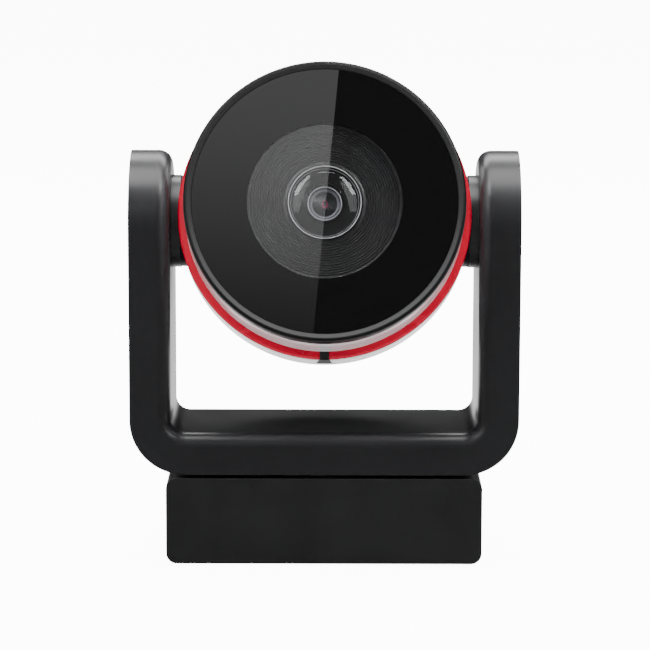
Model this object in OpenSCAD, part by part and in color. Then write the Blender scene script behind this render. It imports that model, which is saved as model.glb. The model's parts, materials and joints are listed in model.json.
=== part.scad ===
// Pan, tilt and zoom conference camera.
// A drum head hangs between the arms of a U-shaped yoke, and the yoke turns on a low base.
// Origin: on the pan axis, where the feet rest. +Z is up and the lens looks towards -Y.

/* [Base] */
// Width of the base
base_w = 117.4; // [114:0.2:122]
// Depth of the base, front to back
base_d = 100; // [96:1:110]
// Height of the base's top face above the table
base_top = 33.4; // [33:0.1:33.8]
// Rounding of the base's long edges
base_corner = 4; // [3:0.5:6]
// Wall thickness of the base housing
base_wall = 2.2; // [1.8:0.1:2.4]

/* [Yoke] */
// Opening between the two arms
yoke_gap = 113.6; // [113:0.2:116]
// Thickness of the arms and of the crossbar
arm_t = 15.2; // [14.6:0.2:16]
// Depth of the arms, front to back
yoke_d = 53; // [52:0.5:55]
// Underside of the crossbar above the table
yoke_bottom = 34.8; // [34.6:0.1:35.4]
// Inside corner radius of the U
inner_r = 5.3; // [4:0.1:7]
// Rounding along the inner edges of the arms and crossbar
edge_r = 5; // [3:0.5:5.5]
// Outer wall thickness of the yoke casting
yoke_wall = 2.4; // [2:0.1:2.8]

/* [Head] */
// Height of the tilt axis above the table
tilt_z = 126.1; // [125:0.1:128]
// Angle by which the head looks up at rest
rest_tilt = 16; // [0:1:30]
// Distance from the tilt axis to the front of the bezel
head_front = 52; // [51:0.5:53]
// Outer radius of the bezel ring
bezel_r = 50.7; // [50:0.1:51]
// Radius of the front glass
glass_r = 47.7; // [47:0.1:48]
// Outer radius of the red ring and of the drum behind it
drum_r = 54; // [53.4:0.1:54.2]
// Radius of the trunnion collars
collar_r = 17.2; // [16:0.1:17.4]

/* [Lens] */
// Radius of the ribbed baffle
baffle_r = 27.9; // [26:0.1:30]
// Number of grooves in the baffle
baffle_grooves = 14; // [8:1:18]
// Radius of the lens barrel's front ring
barrel_r = 13.3; // [13:0.1:13.6]
// Travel of the zoom group
zoom_travel = 14; // [8:1:14]
// Travel of the focus group
focus_travel = 5; // [3:1:5]

/* [Drives] */
// Gear module
gear_m = 0.5; // [0.5:0.1:0.5]
// Teeth on the pan gear and on the tilt gear
gear_teeth = 84; // [84:1:84]
// Teeth on each pinion
pinion_teeth = 16; // [16:1:16]

/* [Hidden] */
$fn = 96;
eps = 0.01;

// Base
base_front = -yoke_d / 2;
base_back = base_front + base_d;
foot_h = 1;
plate_bottom = foot_h;
plate_t = 1.6;
plate_top = plate_bottom + plate_t;
plate_gap = 0.2;
foot_r = 6;
foot_x = 42;
foot_front = base_front + 14;
foot_rear = base_back - 12;
base_screw_x = 51;
base_screw_front = base_front + 8.5;
base_screw_rear = base_back - 33.5;
base_screw_r = 1.25;
boss_r = 3.2;
tripod_r = 3.175;
tripod_depth = 7;
hub_hole_r = 21;
board_z = 6;
board_t = 1.6;
port_z = board_z + board_t + 1.3;
board_front = 46;
// Openings in the rear wall: centre, width and height of each socket
port_spots = [[-41, 9.4, 9.4], [-22, 15.4, 6.2], [-2, 12.4, 5.2], [19, 16.4, 13.8], [41, 13.2, 13.2]];

// Pan drive
gear_r = gear_m * gear_teeth / 2;
pinion_r = gear_m * pinion_teeth / 2;
mesh_d = gear_r + pinion_r;
pan_gear_z = 17.5;
gear_w = 4;
hub_r = 12.5;
hub_bore = 8;
hub_flange_r = 20;
bracket_z = 23;
bracket_t = 2;
bracket_post_x = 29;
bracket_post_y = [-8, 34];
bearing_z = 25;
bearing_h = 6;
race_out_r = 21.5;
ball_pitch_r = 17;
ball_r = 1.6;
ball_groove_r = 1.65;
ball_count = 18;
race_split = 1;
pan_motor_r = 17.5;
pan_motor_h = 12.4;
pan_motor_z = 3;
shaft_r = 1;
shaft_clear = 0.05;
ear_x = 21;

// Yoke
open_half = yoke_gap / 2;
yoke_half = open_half + arm_t;
opening_z = yoke_bottom + arm_t;
corner_z = opening_z + inner_r;
corner_x = open_half - inner_r;
inner_wall = 2.5;
cavity_half = yoke_d / 2 - yoke_wall;
cover_t = 2;
cover_gap = 0.12;
cover_z = corner_z + 3;
cover_screw_spots = [for (y = [-18, 18]) for (z = [cover_z + 8, tilt_z - 22]) [y, z]];
cover_boss_r = 3;
bottom_half = corner_x - 1.5;
bottom_screw_spots = [[-44, -18], [44, -18], [-44, 18], [44, 18]];
collar_end = drum_r - 0.6;
trunnion_flange_r = 21;
trunnion_flange_t = 2;
trunnion_screw_circle = 19.2;
neck_r = 7.5;
neck_bore = 4.5;
left_neck_end = 37;
right_neck_end = 25;
harness_r = 2.4;
harness_bend_r = 4;
harness_corner_r = 13;
harness_low_z = corner_z - harness_corner_r;
harness_arm_x = -corner_x - harness_corner_r;

// Head, along the optical axis: p is the distance in front of the tilt axis
bezel_rear = 44;
bezel_edge = 1.2;
glass_t = 2;
glass_gap = 0.1;
glass_front = head_front - 1;
glass_rear = glass_front - glass_t;
mask_t = 0.2;
ring_front = 21.6;
ring_rear = 18.6;
band_front = 18.4;
clip_half = 1.75;
clip_neck_half = 1.9;
clip_foot_half = 2.8;
clip_foot_p = 8;
clip_proud = 0.25;
shell_r = 48.5;
shell_t = 2;
cone_front = [bezel_r - 0.7, bezel_rear - 0.2];
cone_rear = [drum_r - 2.8, ring_front + 0.1];
rear_r = drum_r - 3.1;
rear_len = 48;
rear_corner = 20;
rear_wall = 2.2;
rear_screw_spots = [[-19, -20], [19, -20], [0, 26]];
post_r = 2.8;
boss_half_r = collar_r - 0.2;
boss_face = collar_end - 0.3;
cheek_in = 40;
cheek_out = 44;
bush_r = 11.5;
chassis_front = 28.4;
chassis_rear = 26;
body_r = 19;
body_wall = 1.5;
body_rear = -8;
barrel_front = 47.4;
front_lens_r = 12.1;
front_lens_seat = barrel_front - 3;
front_lens_apex = barrel_front + 0.8;
front_lens_t = 2;
front_lens_curve = 30;
front_lens_back_curve = 40;
cell_r = 6.1;
cell_front = barrel_front - 4;
cell_bore = 4.2;
rod_r = 1;
rod_spot = 14;
screw_r = 0.9;
slide_clear = 0.05;
carrier_r = 12;
carrier_t = 4;
lens_motor_h = 6.4;
zoom_p = chassis_rear - 0.5 - carrier_t - zoom_travel;
focus_p = zoom_p - 0.5 - carrier_t - focus_travel;
tilt_motor_r = 10;
tilt_motor_in = 3;
tilt_motor_out = 21;
tilt_gear_x = 25;

// ---- shared shapes ----

// Places its children on the tilt axis, with +Z along the optical axis and +Y upwards.
module in_head() {
    translate([0, 0, tilt_z])
        rotate([90 - rest_tilt, 0, 0])
            children();
}

// Turns its children so that their +Z runs along +X.
module along_x() {
    rotate([0, 90, 0])
        children();
}

// A solid of revolution between two radii.
module tube(outer, inner, h) {
    difference() {
        cylinder(r = outer, h = h);
        translate([0, 0, -1])
            cylinder(r = inner, h = h + 2);
    }
}

// A box given by its lowest and highest corners.
module span(low, high) {
    translate(low)
        cube(high - low);
}

// Involute of a circle, in degrees, at the angle whose cosine is the base radius over the radius.
function involute(a) = tan(a) * 180 / PI - a;

// One point on a tooth flank: side is -1 or 1.
function flank(r, base, half, side) =
    let (a = r > base ? acos(base / r) : 0)
    let (turn = side * (half - involute(a)))
    [r * cos(turn), r * sin(turn)];

// Outline of one spur gear tooth, root to tip and back.
function tooth(m, teeth, play) =
    let (pitch = m * teeth / 2)
    let (base = pitch * cos(20))
    let (root = pitch - 1.2 * m)
    let (tip = pitch + 0.9 * m)
    let (half = 90 / teeth - play / pitch * 180 / PI + involute(20))
    let (steps = [for (i = [0:3]) max(base, root) + (tip - max(base, root)) * i / 3])
    concat([[root * cos(half), -root * sin(half)]],
           [for (r = steps) flank(r, base, half, -1)],
           [for (i = [3:-1:0]) flank(steps[i], base, half, 1)],
           [[root * cos(half), root * sin(half)]]);

// A spur gear with a tooth centred on its own +X axis.
module spur_gear(m, teeth, width, bore) {
    outline = tooth(m, teeth, 0.03);
    points = [for (k = [0:teeth - 1])
              for (q = outline)
              let (a = k * 360 / teeth)
              [q[0] * cos(a) - q[1] * sin(a), q[0] * sin(a) + q[1] * cos(a)]];
    difference() {
        linear_extrude(width)
            polygon(points);
        translate([0, 0, -1])
            cylinder(r = bore, h = width + 2);
    }
}

// A pan-head machine screw that points along -Z, with its head's underside at z = 0.
module screw(r, length, head_r, head_h) {
    difference() {
        union() {
            cylinder(r = head_r, h = head_h);
            translate([0, 0, -length])
                cylinder(r = r, h = length + eps);
        }
        for (a = [0, 90])
            rotate([0, 0, a])
                translate([-head_r * 0.6, -0.25, head_h - 0.5])
                    cube([head_r * 1.2, 0.5, 1]);
    }
}

// ---- base ----

// Outline of the base seen from the front.
module base_outline(inset) {
    w = base_w / 2 - inset;
    low = plate_bottom + inset;
    high = base_top - inset;
    c = base_corner - min(inset, base_corner - 1);
    translate([-w + c, low])
        square([2 * (w - c), high - low]);
    translate([-w, low + c])
        square([2 * w, high - low - 2 * c]);
    for (x = [-w + c, w - c])
        for (z = [low + c, high - c])
            translate([x, z])
                circle(r = c);
}

// The outline drawn out from front to back.
module base_block(front, back, inset) {
    translate([0, back, 0])
        rotate([90, 0, 0])
            linear_extrude(back - front)
                base_outline(inset);
}

module base_housing() {
    color("#262628")
        difference() {
            union() {
                difference() {
                    base_block(base_front, base_back, 0);
                    base_block(base_front + base_wall, base_back - base_wall, base_wall);
                    span([-base_w / 2 + base_wall, base_front + base_wall, 0],
                         [base_w / 2 - base_wall, base_back - base_wall, plate_bottom + base_corner]);
                }
                for (x = [-base_screw_x, base_screw_x])
                    for (y = [base_screw_front, base_screw_rear])
                        translate([x, y, plate_top])
                            cylinder(r = boss_r, h = base_top - base_wall - plate_top + eps);
                for (x = [-bracket_post_x, bracket_post_x])
                    for (y = bracket_post_y)
                        translate([x, y, bracket_z + bracket_t])
                            cylinder(r = boss_r, h = base_top - base_wall - bracket_z - bracket_t + eps);
            }
            translate([0, 0, base_top - base_wall - 1])
                cylinder(r = hub_hole_r, h = base_wall + 2);
            for (x = [-base_screw_x, base_screw_x])
                for (y = [base_screw_front, base_screw_rear])
                    translate([x, y, 0])
                        cylinder(r = base_screw_r, h = plate_top + 8);
            for (x = [-bracket_post_x, bracket_post_x])
                for (y = bracket_post_y)
                    translate([x, y, bracket_z])
                        cylinder(r = base_screw_r, h = bracket_t + 6);
            for (p = port_spots)
                translate([p[0] - p[1] / 2, base_back - base_wall - 1, port_z - 1.4])
                    cube([p[1], base_wall + 2, p[2]]);
        }
}

module base_bottom_plate() {
    half = base_w / 2 - base_wall - plate_gap;
    color("#1b1b1d")
        difference() {
            span([-half, base_front + base_wall + plate_gap, plate_bottom],
                 [half, base_back - base_wall - plate_gap, plate_top]);
            cylinder(r = 6, h = plate_top + 1);
            for (x = [-base_screw_x, base_screw_x])
                for (y = [base_screw_front, base_screw_rear])
                    translate([x, y, 0])
                        cylinder(r = base_screw_r, h = plate_top + 1);
            for (x = [-foot_x, foot_x])
                for (y = [foot_front, foot_rear])
                    translate([x, y, plate_bottom - 1])
                        cylinder(r = foot_r, h = 1.6);
        }
}

module rubber_feet() {
    color("#111111")
        for (x = [-foot_x, foot_x])
            for (y = [foot_front, foot_rear])
                translate([x, y, 0])
                    rotate_extrude()
                        polygon([[0, 0], [foot_r - 0.6, 0], [foot_r, 0.6], [foot_r, 1.6], [0, 1.6]]);
}

module tripod_insert() {
    color("#b49a55")
        difference() {
            union() {
                translate([0, 0, plate_bottom])
                    cylinder(r = 6, h = tripod_depth + 1);
                translate([0, 0, plate_top])
                    cylinder(r = 7, h = 1.4);
            }
            translate([0, 0, plate_bottom - 1])
                cylinder(r = tripod_r, h = tripod_depth + 1);
        }
}

module base_screws() {
    color("#3a3a3c")
        for (x = [-base_screw_x, base_screw_x])
            for (y = [base_screw_front, base_screw_rear])
                translate([x, y, plate_bottom])
                    mirror([0, 0, 1])
                        screw(base_screw_r, 7, 2.4, 0.8);
}

// ---- pan drive ----

module pan_bracket() {
    color("#a9abb0")
        difference() {
            union() {
                span([-33, -12, bracket_z], [33, 38, bracket_z + bracket_t]);
                translate([0, 0, bracket_z])
                    cylinder(r = 23.8, h = bearing_z + bearing_h - bracket_z);
                for (x = [-ear_x, ear_x])
                    translate([x, mesh_d, pan_motor_z + pan_motor_h])
                        cylinder(r = 3, h = bracket_z - pan_motor_z - pan_motor_h + eps);
            }
            translate([0, 0, bearing_z])
                cylinder(r = race_out_r, h = bearing_h + 1);
            translate([0, 0, bracket_z - 1])
                cylinder(r = hub_r + 3, h = bearing_h);
            translate([0, mesh_d, bracket_z - 1])
                cylinder(r = 4.8, h = bracket_t + 8);
            for (x = [-bracket_post_x, bracket_post_x])
                for (y = bracket_post_y)
                    translate([x, y, bracket_z - 1])
                        cylinder(r = base_screw_r, h = bracket_t + 2);
        }
}

module bracket_screws() {
    color("#8a8c90")
        for (x = [-bracket_post_x, bracket_post_x])
            for (y = bracket_post_y)
                translate([x, y, bracket_z])
                    mirror([0, 0, 1])
                        screw(base_screw_r, 6, 2.4, 1.4);
}

module pan_motor() {
    color("#b9bbc0")
        translate([0, mesh_d, pan_motor_z])
            difference() {
                union() {
                    cylinder(r = pan_motor_r, h = pan_motor_h - 1);
                    translate([-ear_x - 3, -3, pan_motor_h - 1])
                        cube([2 * ear_x + 6, 6, 1]);
                    translate([0, 0, pan_motor_h - 1])
                        cylinder(r = pan_motor_r, h = 1);
                }
                translate([0, 0, 2])
                    cylinder(r = shaft_r + shaft_clear, h = pan_motor_h);
            }
}

module pan_pinion() {
    color("#c9a94e")
        translate([0, mesh_d, 0])
            union() {
                translate([0, 0, pan_gear_z])
                    rotate([0, 0, 90 + 180 / pinion_teeth])
                        spur_gear(gear_m, pinion_teeth, gear_w, shaft_r / 2);
                translate([0, 0, pan_motor_z + 3])
                    cylinder(r = shaft_r, h = pan_gear_z + gear_w - pan_motor_z - 3);
            }
}

// One race of the pan bearing, with the groove for its balls.
module race(outer, inner) {
    difference() {
        translate([0, 0, bearing_z])
            tube(outer, inner, bearing_h);
        translate([0, 0, bearing_z + bearing_h / 2])
            rotate_extrude()
                translate([ball_pitch_r, 0])
                    circle(r = ball_groove_r, $fn = 48);
    }
}

module bearing_outer_race() {
    color("#d2d4d8")
        race(race_out_r, ball_pitch_r + race_split);
}

module bearing_inner_race() {
    color("#d2d4d8")
        race(ball_pitch_r - race_split, hub_r);
}

module bearing_balls() {
    color("#eceef2")
        for (k = [0:ball_count - 1])
            rotate([0, 0, k * 360 / ball_count])
                translate([ball_pitch_r, 0, bearing_z + bearing_h / 2])
                    sphere(r = ball_r, $fn = 32);
}

module pan_hub() {
    low = pan_gear_z - 1;
    color("#9fa1a6")
        difference() {
            union() {
                translate([0, 0, low])
                    cylinder(r = hub_r, h = yoke_bottom - low);
                translate([0, 0, bearing_z + bearing_h])
                    cylinder(r = hub_r + 1.5, h = 1);
                translate([0, 0, yoke_bottom - 2.2])
                    cylinder(r = hub_flange_r, h = 2.2);
            }
            translate([0, 0, low - 1])
                cylinder(r = hub_bore, h = yoke_bottom - low + 2);
        }
}

module pan_gear() {
    color("#e8e4d8")
        translate([0, 0, pan_gear_z])
            rotate([0, 0, 90])
                spur_gear(gear_m, gear_teeth, gear_w, hub_r);
}

// ---- base electronics ----

module base_board() {
    color("#1f5a36")
        span([-52, board_front, board_z], [52, base_back - base_wall - 0.4, board_z + board_t]);
    color("#202020")
        span([-30, board_front + 4, board_z + board_t], [-16, board_front + 15, board_z + board_t + 1.4]);
    color("#202020")
        span([0, board_front + 2, board_z + board_t], [9, board_front + 11, board_z + board_t + 1.6]);
}

// A socket body whose mouth is flush with the base's rear wall.
module socket(spot, depth, wall) {
    w = spot[1] - 0.2;
    h = spot[2] - 0.2;
    translate([spot[0] - w / 2, base_back - 0.3 - depth, port_z - 1.3])
        difference() {
            cube([w, depth, h]);
            translate([wall, 1.6, wall])
                cube([w - 2 * wall, depth, h - 2 * wall]);
        }
}

module power_jack() {
    spot = port_spots[0];
    size = spot[1] - 0.2;
    color("#161616")
        difference() {
            translate([spot[0] - size / 2, base_back - 12.3, port_z - 1.3])
                cube([size, 12, size]);
            translate([spot[0], base_back - 9.3, port_z - 1.3 + size / 2])
                rotate([-90, 0, 0])
                    cylinder(r = 2.9, h = 12);
        }
    color("#c8c8c8")
        translate([spot[0], base_back - 9.3, port_z - 1.3 + size / 2])
            rotate([-90, 0, 0])
                cylinder(r = 1, h = 8);
}

module hdmi_port() {
    spot = port_spots[1];
    color("#b8babd")
        socket(spot, 11, 0.5);
    color("#141414")
        span([spot[0] - 5.6, base_back - 9.7, port_z + 1.1], [spot[0] + 5.6, base_back - 1.8, port_z + 2.5]);
}

module usb_port() {
    spot = port_spots[2];
    color("#b8babd")
        socket(spot, 12, 0.5);
    color("#2255aa")
        span([spot[0] - 5, base_back - 10.7, port_z + 0.2], [spot[0] + 5, base_back - 1.6, port_z + 1.6]);
}

module lan_port() {
    color("#b8babd")
        socket(port_spots[3], 15, 1.2);
}

module control_port() {
    spot = port_spots[4];
    size = spot[1] - 0.2;
    color("#161616")
        difference() {
            translate([spot[0] - size / 2, base_back - 12.3, port_z - 1.3])
                cube([size, 12, size]);
            translate([spot[0], base_back - 9.3, port_z - 1.3 + size / 2])
                rotate([-90, 0, 0])
                    tube(4.6, 2.6, 12);
        }
}

// ---- yoke ----

// Section through an arm or the crossbar. X runs front to back, Y away from the opening.
module arm_section() {
    translate([-yoke_d / 2, edge_r])
        square([yoke_d, arm_t - edge_r]);
    translate([-yoke_d / 2 + edge_r, 0])
        square([yoke_d - 2 * edge_r, edge_r]);
    for (s = [-1, 1])
        translate([s * (yoke_d / 2 - edge_r), edge_r])
            circle(r = edge_r);
}

// Section of the hollow inside the casting, closed on its outer side.
module cavity_section() {
    translate([-cavity_half, inner_wall])
        square([2 * cavity_half, arm_t - inner_wall - yoke_wall]);
}

// Sweeps a section round the lower right corner of the U.
module sweep_corner() {
    translate([corner_x, 0, corner_z])
        rotate([90, 0, 0])
            rotate([0, 0, -90])
                rotate_extrude(angle = 90)
                    translate([inner_r, 0])
                        rotate(-90)
                            children();
}

// One arm with its round top, on the +X side.
module arm_solid() {
    translate([open_half, 0, corner_z])
        rotate([0, 0, -90])
            linear_extrude(tilt_z - corner_z)
                arm_section();
    translate([open_half, 0, tilt_z])
        along_x()
            rotate([0, 0, 90])
                rotate_extrude(angle = 180)
                    intersection() {
                        arm_section();
                        square([yoke_d, arm_t]);
                    }
    sweep_corner()
        arm_section();
}

// The space inside one arm, open on the outer side for its cover.
module arm_cavity() {
    x_in = open_half + inner_wall;
    sweep_corner()
        cavity_section();
    translate([open_half, 0, corner_z])
        rotate([0, 0, -90])
            linear_extrude(cover_z - corner_z)
                cavity_section();
    span([x_in, -cavity_half, cover_z], [yoke_half + 1, cavity_half, tilt_z]);
    translate([x_in, 0, tilt_z])
        along_x()
            cylinder(r = cavity_half, h = arm_t);
    translate([open_half - 1, 0, tilt_z])
        along_x()
            cylinder(r = collar_r + 0.15, h = inner_wall + 2);
}

// Posts that take the cover screws of one arm.
module cover_bosses() {
    for (s = cover_screw_spots)
        translate([open_half + inner_wall - eps, s[0], s[1]])
            along_x()
                tube(cover_boss_r, 0.9, arm_t - inner_wall - cover_t);
}

// Draws its children on the +X side and mirrored on the other.
module both_sides() {
    children();
    mirror([1, 0, 0])
        children();
}

module yoke_frame() {
    color("#28282a") {
        difference() {
            union() {
                both_sides()
                    arm_solid();
                translate([-corner_x, 0, opening_z])
                    along_x()
                        rotate([0, 0, -90])
                            linear_extrude(2 * corner_x)
                                arm_section();
            }
            both_sides()
                arm_cavity();
            span([-corner_x, -cavity_half, yoke_bottom + yoke_wall],
                 [corner_x, cavity_half, opening_z - inner_wall]);
            span([-bottom_half, -cavity_half, yoke_bottom - 1],
                 [bottom_half, cavity_half, yoke_bottom + yoke_wall + 1]);
        }
        both_sides()
            cover_bosses();
        for (s = bottom_screw_spots)
            translate([s[0], s[1], yoke_bottom + 2.2])
                tube(3, 1, arm_t - inner_wall - 2.2 + eps);
    }
}

module yoke_bottom_plate() {
    color("#2c2c2e")
        difference() {
            span([-bottom_half + cover_gap, -cavity_half + cover_gap, yoke_bottom],
                 [bottom_half - cover_gap, cavity_half - cover_gap, yoke_bottom + 2.2]);
            translate([0, 0, yoke_bottom - 1])
                cylinder(r = hub_bore, h = 5);
            for (s = bottom_screw_spots)
                translate([s[0], s[1], yoke_bottom - 1])
                    cylinder(r = 1, h = 5);
        }
}

module yoke_screws() {
    color("#3a3a3c")
        for (s = bottom_screw_spots)
            translate([s[0], s[1], yoke_bottom])
                mirror([0, 0, 1])
                    screw(1, 8, 1.9, 0.7);
}

// A flat cover that fills the outer opening of one arm, with countersunk screw holes.
module arm_cover_blank() {
    r = cavity_half - cover_gap;
    difference() {
        union() {
            translate([yoke_half - cover_t, -r, cover_z + cover_gap])
                cube([cover_t, 2 * r, tilt_z - cover_z - cover_gap]);
            translate([yoke_half - cover_t, 0, tilt_z])
                along_x()
                    cylinder(r = r, h = cover_t);
        }
        for (s = cover_screw_spots)
            translate([yoke_half - cover_t, s[0], s[1]])
                along_x() {
                    translate([0, 0, -1])
                        cylinder(r = 0.95, h = cover_t + 2);
                    translate([0, 0, cover_t - 1])
                        cylinder(r = 1.9, h = 2);
                }
    }
}

module right_arm_cover() {
    color("#2b2b2d")
        arm_cover_blank();
}

module left_arm_cover() {
    color("#2b2b2d")
        mirror([1, 0, 0])
            arm_cover_blank();
}

module cover_screws() {
    color("#3a3a3c")
        both_sides()
            for (s = cover_screw_spots)
                translate([yoke_half - 1, s[0], s[1]])
                    along_x()
                        screw(0.85, 6, 1.75, 0.7);
}

// ---- trunnions and tilt gear ----

// A hollow stub axle: flange inside the arm, collar through its wall, and neck into the head.
module trunnion(neck_end) {
    x_in = open_half + inner_wall;
    difference() {
        union() {
            translate([x_in, 0, tilt_z])
                along_x()
                    cylinder(r = trunnion_flange_r, h = trunnion_flange_t);
            translate([collar_end, 0, tilt_z])
                along_x()
                    cylinder(r = collar_r, h = x_in - collar_end + eps);
            translate([neck_end, 0, tilt_z])
                along_x()
                    cylinder(r = neck_r, h = collar_end - neck_end + eps);
        }
        translate([neck_end - 1, 0, tilt_z])
            along_x()
                cylinder(r = neck_bore, h = x_in);
        for (a = [45:90:315])
            translate([x_in - 3, trunnion_screw_circle * cos(a), tilt_z + trunnion_screw_circle * sin(a)])
                along_x()
                    cylinder(r = 0.9, h = 8);
    }
}

module right_trunnion() {
    color("#1c1c1e")
        trunnion(right_neck_end);
}

module left_trunnion() {
    color("#1c1c1e")
        mirror([1, 0, 0])
            trunnion(left_neck_end);
}

module trunnion_screws() {
    color("#8a8c90")
        both_sides()
            for (a = [45:90:315])
                translate([open_half + inner_wall + trunnion_flange_t,
                           trunnion_screw_circle * cos(a), tilt_z + trunnion_screw_circle * sin(a)])
                    along_x()
                        screw(0.9, 2, 1.6, 0.8);
}

// The gear is held by the yoke, and one tooth gap faces the pinion behind it.
module tilt_gear() {
    color("#e8e4d8")
        in_head()
            translate([tilt_gear_x, 0, 0])
                along_x()
                    spur_gear(gear_m, gear_teeth, gear_w, neck_r);
}

// One quarter bend of the harness in the XZ plane, about its centre.
module harness_bend(x, z, r, start) {
    translate([x, 0, z])
        rotate([90, 0, 0])
            rotate([0, 0, start])
                rotate_extrude(angle = 90)
                    translate([r, 0])
                        circle(r = harness_r, $fn = 32);
}

// The harness runs up the hub, along the crossbar, up the left arm and in through the trunnion.
module wire_harness() {
    b = harness_bend_r;
    color("#202022") {
        translate([0, 0, pan_gear_z + 1])
            cylinder(r = harness_r, h = harness_low_z - b - pan_gear_z - 1);
        harness_bend(-b, harness_low_z - b, b, 0);
        translate([-corner_x, 0, harness_low_z])
            along_x()
                cylinder(r = harness_r, h = corner_x - b);
        harness_bend(-corner_x, corner_z, harness_corner_r, 180);
        translate([harness_arm_x, 0, corner_z])
            cylinder(r = harness_r, h = tilt_z - b - corner_z);
        harness_bend(harness_arm_x + b, tilt_z - b, b, 90);
        translate([harness_arm_x + b, 0, tilt_z])
            along_x()
                cylinder(r = harness_r, h = -left_neck_end - harness_arm_x - b);
    }
}

// ---- head shells and trim ----

// A turned ring with a rounded outer edge, a seat for the glass and a bevel down to it.
module bezel_ring() {
    inner = 45;
    bevel = 1.5;
    color("#1e1e20")
        in_head()
            rotate_extrude()
                difference() {
                    union() {
                        translate([inner, bezel_rear])
                            square([bezel_r - inner, head_front - bezel_edge - bezel_rear]);
                        translate([inner, bezel_rear])
                            square([bezel_r - bezel_edge - inner, head_front - bezel_rear]);
                        translate([bezel_r - bezel_edge, head_front - bezel_edge])
                            circle(r = bezel_edge);
                    }
                    translate([inner - 1, glass_rear - mask_t])
                        square([glass_r + glass_gap - inner + 1, 5]);
                    polygon([[glass_r, glass_front], [glass_r + glass_gap, glass_front],
                             [glass_r + glass_gap + bevel, head_front],
                             [glass_r + glass_gap + bevel, head_front + 1], [glass_r, head_front + 1]]);
                }
}

module front_glass() {
    color("#0b0b0d", 0.5)
        in_head()
            translate([0, 0, glass_rear])
                cylinder(r = glass_r, h = glass_t);
}

module glass_mask() {
    color("#0a0a0b")
        in_head()
            translate([0, 0, glass_rear - mask_t])
                tube(glass_r, baffle_r, mask_t);
}

// A shallow cone of fine concentric grooves round the lens.
module lens_baffle() {
    rim_in = barrel_r + 0.5;
    front = glass_rear - mask_t - 0.1;
    rear_drop = 2.2;
    pitch = (baffle_r - rim_in - 1.2) / baffle_grooves;
    grooves = [for (k = [0:baffle_grooves - 1])
               for (q = [[0, 0], [0.55, -0.45]])
               let (r = baffle_r - 0.6 - (k + q[0]) * pitch)
               [r, front - 0.2 - rear_drop * (baffle_r - r) / (baffle_r - rim_in) + q[1]]];
    color("#3c3c3e")
        in_head()
            rotate_extrude()
                polygon(concat([[rim_in, front - 4.4], [baffle_r + 3, front - 4.4],
                                [baffle_r + 3, front], [baffle_r - 0.3, front]],
                               grooves,
                               [[rim_in, front - 0.2 - rear_drop]]));
}

module chrome_band() {
    color("#c9cbce")
        in_head()
            rotate_extrude()
                polygon([[shell_r, cone_front[1]], cone_front, cone_rear, cone_rear - [1.2, 0],
                         [shell_r, bezel_rear - 3]]);
}

module red_ring() {
    color("#e0142a")
        in_head()
            difference() {
                rotate_extrude() {
                    translate([shell_r, ring_rear])
                        square([drum_r - 1.2 - shell_r, ring_front - ring_rear]);
                    translate([drum_r - 1.3, ring_rear])
                        square([0.5, ring_front - ring_rear]);
                    translate([drum_r - 1.5, (ring_front + ring_rear) / 2])
                        circle(r = 1.5);
                }
                span([-clip_half, -drum_r - 1, ring_rear - 1], [clip_half, -shell_r + 1, ring_front + 1]);
            }
}

// A keystone that closes the split in the red ring, with a wedge-shaped foot on the silver band.
module ring_clip() {
    color("#101011")
        in_head() {
            intersection() {
                span([-clip_half + 0.05, -drum_r - 1, ring_rear - 0.2],
                     [clip_half - 0.05, -shell_r, ring_front + 0.1]);
                cylinder(r = drum_r + clip_proud, h = ring_front + 1);
            }
            intersection() {
                tube(drum_r + clip_proud, drum_r, band_front);
                rotate([90, 0, 0])
                    linear_extrude(drum_r + 1)
                        polygon([[-clip_neck_half, band_front], [clip_neck_half, band_front],
                                 [clip_foot_half, clip_foot_p], [-clip_foot_half, clip_foot_p]]);
            }
        }
}

module silver_band() {
    color("#bfc1c5")
        in_head()
            difference() {
                translate([0, 0, 0.2])
                    tube(drum_r, drum_r - 1.4, band_front - 0.2);
                translate([-drum_r - 2, 0, 0])
                    along_x()
                        cylinder(r = collar_r + 0.5, h = 2 * drum_r + 4);
            }
}

// Half of each side boss; side is 1 for the front half and -1 for the rear half.
module side_bosses(side) {
    intersection() {
        both_sides()
            translate([shell_r - 4, 0, 0])
                along_x()
                    cylinder(r = boss_half_r, h = boss_face - shell_r + 4);
        translate([-drum_r - 1, -20, side > 0 ? 0.1 : -20.1])
            cube([2 * drum_r + 2, 40, 20]);
    }
}

// The way through both side bosses for the trunnion necks.
module trunnion_way() {
    translate([-drum_r - 2, 0, 0])
        along_x()
            cylinder(r = neck_r + 1, h = 2 * drum_r + 4);
}

module head_front_shell() {
    color("#2a2a2c")
        in_head()
            difference() {
                union() {
                    translate([0, 0, 0.1])
                        tube(shell_r, shell_r - shell_t, bezel_rear - 0.1);
                    translate([0, 0, 0.1])
                        tube(drum_r - 1.4, shell_r - eps, 2.4);
                    translate([0, 0, band_front - 2])
                        tube(drum_r - 1.4, shell_r - eps, 2);
                    side_bosses(1);
                }
                trunnion_way();
            }
}

// Outline of the rear shell: straight, then one large rounded corner.
module dome_profile(r, len, corner) {
    square([r, len - corner]);
    square([r - corner, len]);
    translate([r - corner, len - corner])
        circle(r = corner);
}

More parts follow.
